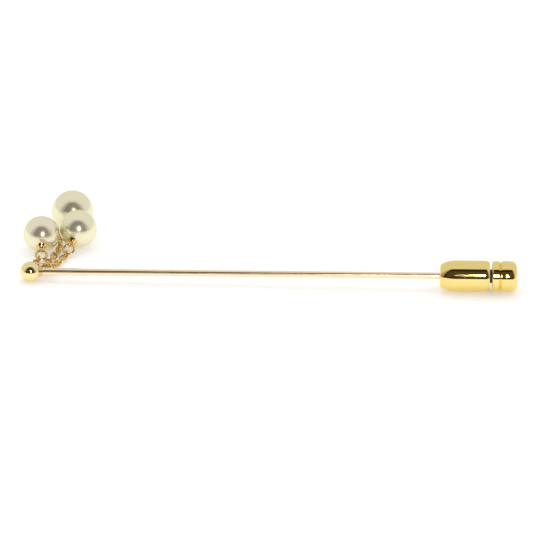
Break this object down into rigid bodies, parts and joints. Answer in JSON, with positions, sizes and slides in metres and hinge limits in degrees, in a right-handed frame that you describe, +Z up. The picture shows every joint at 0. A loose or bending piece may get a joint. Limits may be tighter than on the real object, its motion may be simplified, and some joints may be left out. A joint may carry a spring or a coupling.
{
  "type": "pearl stick pin",
  "caption": "Gold stick pin with a ball head, pearls hanging on short cable chains behind it, and a bullet clutch that locks on the pin.",
  "frame": {"origin": "on the table, under the middle of the whole object's box", "axes": "+X runs along the pin from the ball head to the clutch, +Y from the pin to the pearls, +Z up from the table"},
  "size_m": [0.068, 0.0226, 0.0057],
  "materials": {
    "polished_gold": "polished",
    "pearl": "lustrous",
    "spring_steel": "bright"
  },
  "bodies": {
    "pin": {"pin_stick": "polished_gold", "head_ball": "polished_gold", "neck_collar": "polished_gold", "hanger_eye": "polished_gold"},
    "clutch": {"clutch_barrel": "polished_gold", "clutch_taper_seat": "spring_steel", "clutch_back_washer": "polished_gold", "return_spring": "spring_steel"},
    "puller": {"ball_cage": "spring_steel", "clutch_knob": "polished_gold"},
    "ball_1": {"grip_ball_1": "spring_steel"},
    "ball_2": {"grip_ball_2": "spring_steel"},
    "ball_3": {"grip_ball_3": "spring_steel"},
    "left_link_01": {"left_link_01": "polished_gold"},
    "left_link_02": {"left_link_02": "polished_gold"},
    "left_link_03": {"left_link_03": "polished_gold"},
    "left_link_04": {"left_link_04": "polished_gold"},
    "left_link_05": {"left_link_05": "polished_gold"},
    "left_jump_ring": {"left_jump_ring": "polished_gold"},
    "left_drop": {"left_cap": "polished_gold", "left_pearl": "pearl"},
    "front_link_01": {"front_link_01": "polished_gold"},
    "front_link_02": {"front_link_02": "polished_gold"},
    "front_link_03": {"front_link_03": "polished_gold"},
    "front_link_04": {"front_link_04": "polished_gold"},
    "front_link_05": {"front_link_05": "polished_gold"},
    "front_link_06": {"front_link_06": "polished_gold"},
    "front_link_07": {"front_link_07": "polished_gold"},
    "front_jump_ring": {"front_jump_ring": "polished_gold"},
    "front_drop": {"front_cap": "polished_gold", "front_pearl": "pearl"},
    "rear_link_01": {"rear_link_01": "polished_gold"},
    "rear_link_02": {"rear_link_02": "polished_gold"},
    "rear_link_03": {"rear_link_03": "polished_gold"},
    "rear_link_04": {"rear_link_04": "polished_gold"},
    "rear_link_05": {"rear_link_05": "polished_gold"},
    "rear_link_06": {"rear_link_06": "polished_gold"},
    "rear_link_07": {"rear_link_07": "polished_gold"},
    "rear_link_08": {"rear_link_08": "polished_gold"},
    "rear_link_09": {"rear_link_09": "polished_gold"},
    "rear_link_10": {"rear_link_10": "polished_gold"},
    "rear_link_11": {"rear_link_11": "polished_gold"},
    "rear_link_12": {"rear_link_12": "polished_gold"},
    "rear_jump_ring": {"rear_jump_ring": "polished_gold"},
    "rear_drop": {"rear_cap": "polished_gold", "rear_pearl": "pearl"}
  },
  "joints": [
    {"name": "clutch_slide", "type": "slide", "parent": "pin", "child": "clutch", "axis": [0.9999, 0, 0.0129], "range_m": [-0.0003, 0.014]},
    {"name": "knob_pull", "type": "slide", "parent": "clutch", "child": "puller", "axis": [0.9999, 0, 0.0129], "range_m": [0, 0.0008], "stiffness_N_per_m": 400, "springref_m": -0.0005, "deforming": ["return_spring"]},
    {"name": "ball_1_release", "type": "slide", "parent": "puller", "child": "ball_1", "axis": [-0.0129, 0, 0.9999], "range_m": [0, 0.00021]},
    {"name": "ball_2_release", "type": "slide", "parent": "puller", "child": "ball_2", "axis": [0.0065, -0.866, -0.5], "range_m": [0, 0.00021]},
    {"name": "ball_3_release", "type": "slide", "parent": "puller", "child": "ball_3", "axis": [0.0065, 0.866, -0.5], "range_m": [0, 0.00021]},
    {"name": "left_link_01_swing", "type": "hinge", "parent": "pin", "child": "left_link_01", "pos_m": [-0.031, -0.00737, 0.00142], "axis": [0.6819, 0.7314, 0.0088], "range_deg": [-3, 26]},
    {"name": "left_link_02_swing", "type": "hinge", "parent": "left_link_01", "child": "left_link_02", "pos_m": [-0.0316, -0.00661, 0.00115], "axis": [0.1793, -0.2081, -0.9615], "range_deg": [-26, 0]},
    {"name": "left_link_03_swing", "type": "hinge", "parent": "left_link_02", "child": "left_link_03", "pos_m": [-0.03196, -0.00573, 0.00074], "axis": [0.9338, 0.293, -0.2053], "range_deg": [-6, 26]},
    {"name": "left_link_04_swing", "type": "hinge", "parent": "left_link_03", "child": "left_link_04", "pos_m": [-0.03206, -0.00472, 0.00052], "axis": [0.2787, 0.2229, 0.9341], "range_deg": [0, 26]},
    {"name": "left_link_05_swing", "type": "hinge", "parent": "left_link_04", "child": "left_link_05", "pos_m": [-0.03189, -0.00368, 0.00056], "axis": [-0.9643, 0.1469, 0.2202], "range_deg": [-26, 6]},
    {"name": "left_jump_ring_swing", "type": "hinge", "parent": "left_link_05", "child": "left_jump_ring", "pos_m": [-0.03153, -0.00271, 0.00062], "axis": [0.0147, 0.0468, -0.9988], "range_deg": [-26, 0]},
    {"name": "left_drop_swing", "type": "hinge", "parent": "left_jump_ring", "child": "left_drop", "pos_m": [-0.03133, -0.00177, 0.00124], "axis": [-0.9998, -0.0219, 0], "range_deg": [-26, 6]},
    {"name": "front_link_01_swing", "type": "hinge", "parent": "pin", "child": "front_link_01", "pos_m": [-0.02984, -0.00744, 0.00144], "axis": [0.5877, -0.809, 0.0076], "range_deg": [0, 26]},
    {"name": "front_link_02_swing", "type": "hinge", "parent": "front_link_01", "child": "front_link_02", "pos_m": [-0.02936, -0.00659, 0.00114], "axis": [0.1714, 0.2356, 0.9566], "range_deg": [-26, 0]},
    {"name": "front_link_03_swing", "type": "hinge", "parent": "front_link_02", "child": "front_link_03", "pos_m": [-0.02923, -0.00562, 0.00078], "axis": [0.9712, -0.1866, -0.1481], "range_deg": [0, 26]},
    {"name": "front_link_04_swing", "type": "hinge", "parent": "front_link_03", "child": "front_link_04", "pos_m": [-0.02911, -0.00462, 0.00055], "axis": [-0.2937, -0.188, -0.9372], "range_deg": [0, 26]},
    {"name": "front_link_05_swing", "type": "hinge", "parent": "front_link_04", "child": "front_link_05", "pos_m": [-0.02878, -0.00363, 0.00053], "axis": [-0.8997, 0.3092, 0.3081], "range_deg": [-26, 0]},
    {"name": "front_link_06_swing", "type": "hinge", "parent": "front_link_05", "child": "front_link_06", "pos_m": [-0.0284, -0.00267, 0.00056], "axis": [0.2416, -0.1205, 0.9629], "range_deg": [-26, 0]},
    {"name": "front_link_07_swing", "type": "hinge", "parent": "front_link_06", "child": "front_link_07", "pos_m": [-0.02805, -0.0017, 0.00055], "axis": [0.929, -0.3353, -0.1564], "range_deg": [0, 26]},
    {"name": "front_jump_ring_swing", "type": "hinge", "parent": "front_link_07", "child": "front_jump_ring", "pos_m": [-0.02769, -0.00073, 0.00055], "axis": [-0.0003, -0.0009, -1], "range_deg": [0, 26]},
    {"name": "front_drop_swing", "type": "hinge", "parent": "front_jump_ring", "child": "front_drop", "pos_m": [-0.0274, 0.00004, 0.0015], "axis": [0.9511, -0.3089, 0], "range_deg": [-3, 10]},
    {"name": "rear_link_01_swing", "type": "hinge", "parent": "pin", "child": "rear_link_01", "pos_m": [-0.03045, -0.00713, 0.00143], "axis": [0.9999, 0, 0.0129], "range_deg": [-26, 0]},
    {"name": "rear_link_02_swing", "type": "hinge", "parent": "rear_link_01", "child": "rear_link_02", "pos_m": [-0.03048, -0.00618, 0.00112], "axis": [0.0079, -0.3054, -0.9522], "range_deg": [-1.5, 0.8]},
    {"name": "rear_link_03_swing", "type": "hinge", "parent": "rear_link_02", "child": "rear_link_03", "pos_m": [-0.03051, -0.0052, 0.00078], "axis": [0.9907, -0.0176, -0.1347], "range_deg": [-26, 0]},
    {"name": "rear_link_04_swing", "type": "hinge", "parent": "rear_link_03", "child": "rear_link_04", "pos_m": [-0.03041, -0.0042, 0.00054], "axis": [0.2965, 0.1926, 0.9354], "range_deg": [-1.1, 1.5]},
    {"name": "rear_link_05_swing", "type": "hinge", "parent": "rear_link_04", "child": "rear_link_05", "pos_m": [-0.0301, -0.0032, 0.00052], "axis": [-0.8642, 0.2859, 0.414], "range_deg": [0, 26]},
    {"name": "rear_link_06_swing", "type": "hinge", "parent": "rear_link_05", "child": "rear_link_06", "pos_m": [-0.0297, -0.00225, 0.00056], "axis": [-0.4873, 0.2373, -0.8404], "range_deg": [-2.6, 1.9]},
    {"name": "rear_link_07_swing", "type": "hinge", "parent": "rear_link_06", "child": "rear_link_07", "pos_m": [-0.02933, -0.00128, 0.00056], "axis": [0.7069, -0.2673, -0.6548], "range_deg": [-26, 0]},
    {"name": "rear_link_08_swing", "type": "hinge", "parent": "rear_link_07", "child": "rear_link_08", "pos_m": [-0.02906, -0.00028, 0.00055], "axis": [0.7309, -0.1928, 0.6547], "range_deg": [-26, 4]},
    {"name": "rear_link_09_swing", "type": "hinge", "parent": "rear_link_08", "child": "rear_link_09", "pos_m": [-0.02893, 0.00075, 0.00055], "axis": [-0.5362, 0.07, 0.8412], "range_deg": [0, 26]},
    {"name": "rear_link_10_swing", "type": "hinge", "parent": "rear_link_09", "child": "rear_link_10", "pos_m": [-0.02892, 0.00178, 0.00055], "axis": [-0.9096, 0.0018, -0.4154], "range_deg": [-8, 26]},
    {"name": "rear_link_11_swing", "type": "hinge", "parent": "rear_link_10", "child": "rear_link_11", "pos_m": [-0.02901, 0.00281, 0.00055], "axis": [0.2808, 0.024, -0.9595], "range_deg": [-26, 0]},
    {"name": "rear_link_12_swing", "type": "hinge", "parent": "rear_link_11", "child": "rear_link_12", "pos_m": [-0.02909, 0.00385, 0.00055], "axis": [0.9872, 0.072, 0.1423], "range_deg": [-26, 0]},
    {"name": "rear_jump_ring_swing", "type": "hinge", "parent": "rear_link_12", "child": "rear_jump_ring", "pos_m": [-0.02905, 0.00488, 0.00055], "axis": [0, 0, 1], "range_deg": [0, 26]},
    {"name": "rear_drop_swing", "type": "hinge", "parent": "rear_jump_ring", "child": "rear_drop", "pos_m": [-0.02875, 0.00551, 0.00164], "axis": [-0.9042, 0.427, 0], "range_deg": [-4, 26]}
  ],
  "couplings": [
    {"joint": "ball_1_release", "follows": "knob_pull", "ratio": 0.25},
    {"joint": "ball_2_release", "follows": "knob_pull", "ratio": 0.25},
    {"joint": "ball_3_release", "follows": "knob_pull", "ratio": 0.25}
  ]
}
